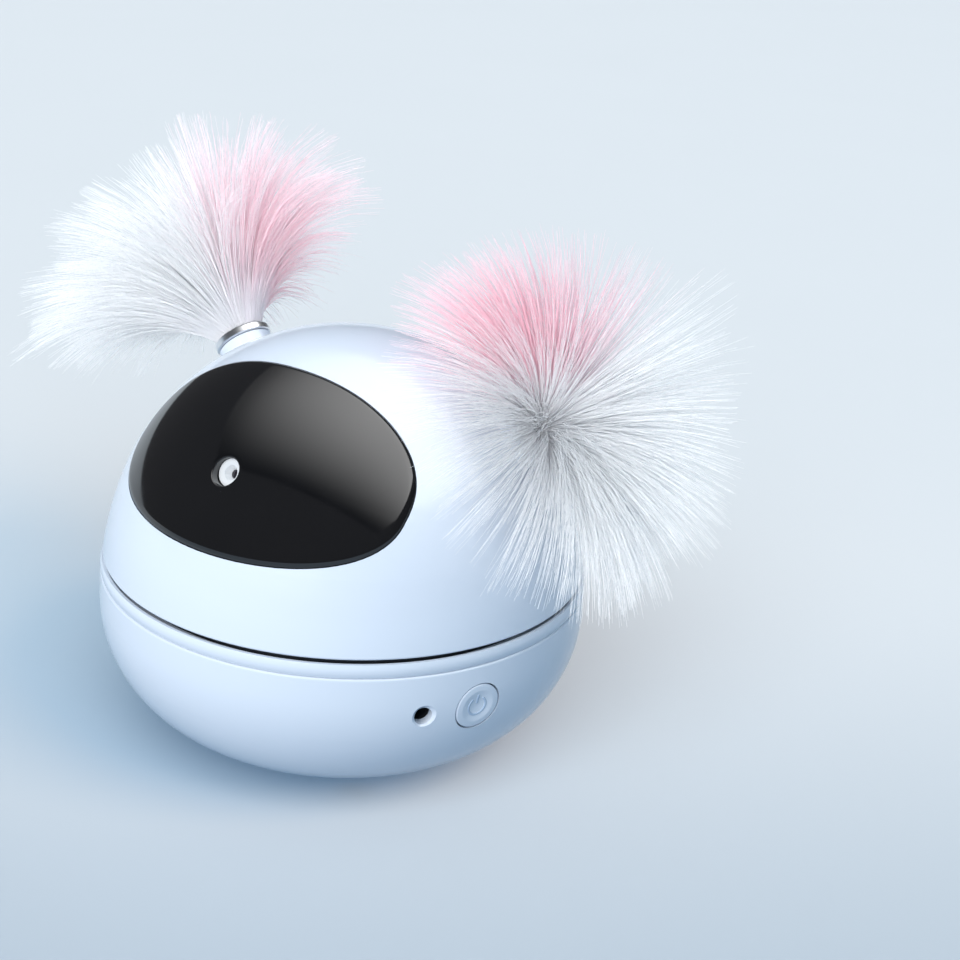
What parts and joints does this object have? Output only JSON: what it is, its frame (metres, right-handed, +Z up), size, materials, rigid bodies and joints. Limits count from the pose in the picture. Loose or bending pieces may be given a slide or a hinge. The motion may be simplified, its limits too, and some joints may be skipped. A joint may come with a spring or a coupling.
{
  "type": "automatic cat feather toy",
  "caption": "Round floor toy for cats: a rounded base with a power button, a motor-turned domed head with a black oval visor and an eye, and plug-in fibre tufts at its sides.",
  "frame": {"origin": "middle of the foot pad's underside, on the floor, on the axis that the head turns about", "axes": "+Z up along the head's axis, -Y towards the visor at rest, +X towards the right tuft as seen when facing the visor"},
  "size_m": [0.1712, 0.1117, 0.1244],
  "materials": {
    "shell": "gloss",
    "visor": "gloss",
    "silicone": "matte",
    "inner_plastic": "satin",
    "gear_plastic": "satin",
    "steel": "satin",
    "chrome": "polished",
    "brass": "satin",
    "circuit_board": "satin",
    "black_plastic": "satin",
    "cell_wrap": "gloss",
    "lens": "gloss",
    "fibre": "soft"
  },
  "bodies": {
    "base": {"base_bowl": "shell", "collar_ring": "shell", "foot_pad": "silicone", "base_screws": "steel", "deck_plate": "inner_plastic", "contact_ring": "brass", "thrust_washer": "gear_plastic", "retaining_washer": "steel", "retaining_screw": "steel", "motor_can": "steel", "motor_gearbox": "brass", "motor_screws": "steel", "main_board": "circuit_board", "board_parts": "black_plastic", "tact_switch": "black_plastic", "charge_jack": "black_plastic", "jack_pin": "steel", "battery_cell": "cell_wrap"},
    "head": {"head_shell": "shell", "visor": "visor", "turntable": "inner_plastic", "drive_gear": "gear_plastic", "head_screws": "steel", "hub_bush": "gear_plastic", "contact_brushes": "brass", "eye_bezel": "chrome", "eye_barrel": "brass", "eye_lens": "lens", "eye_bracket": "inner_plastic", "bracket_screws": "steel", "socket_left": "shell", "socket_right": "shell", "socket_nuts": "inner_plastic"},
    "pinion": {"motor_shaft": "steel", "drive_pinion": "gear_plastic"},
    "button": {"power_button": "shell", "switch_plunger": "black_plastic"},
    "tuft_left": {"ferrule_left": "chrome", "strands_left": "fibre"},
    "tuft_right": {"ferrule_right": "chrome", "strands_right": "fibre"}
  },
  "joints": [
    {"name": "head_turn", "type": "hinge", "parent": "base", "child": "head", "pos_m": [0, 0, 0.045], "axis": [0, 0, 1], "continuous": true},
    {"name": "pinion_turn", "type": "hinge", "parent": "base", "child": "pinion", "pos_m": [0, 0.02606, 0.038], "axis": [0, 0, 1], "continuous": true},
    {"name": "button_press", "type": "slide", "parent": "base", "child": "button", "axis": [-0.9361, 0.3518, 0], "range_m": [0, 0.0006], "stiffness_N_per_m": 2500},
    {"name": "tuft_left_pull", "type": "slide", "parent": "head", "child": "tuft_left", "axis": [-0.7105, 0.197, 0.6756], "range_m": [0, 0.012]},
    {"name": "tuft_right_pull", "type": "slide", "parent": "head", "child": "tuft_right", "axis": [0.7105, 0.197, 0.6756], "range_m": [0, 0.012]}
  ],
  "couplings": [
    {"joint": "pinion_turn", "follows": "head_turn", "ratio": -2.7143}
  ]
}
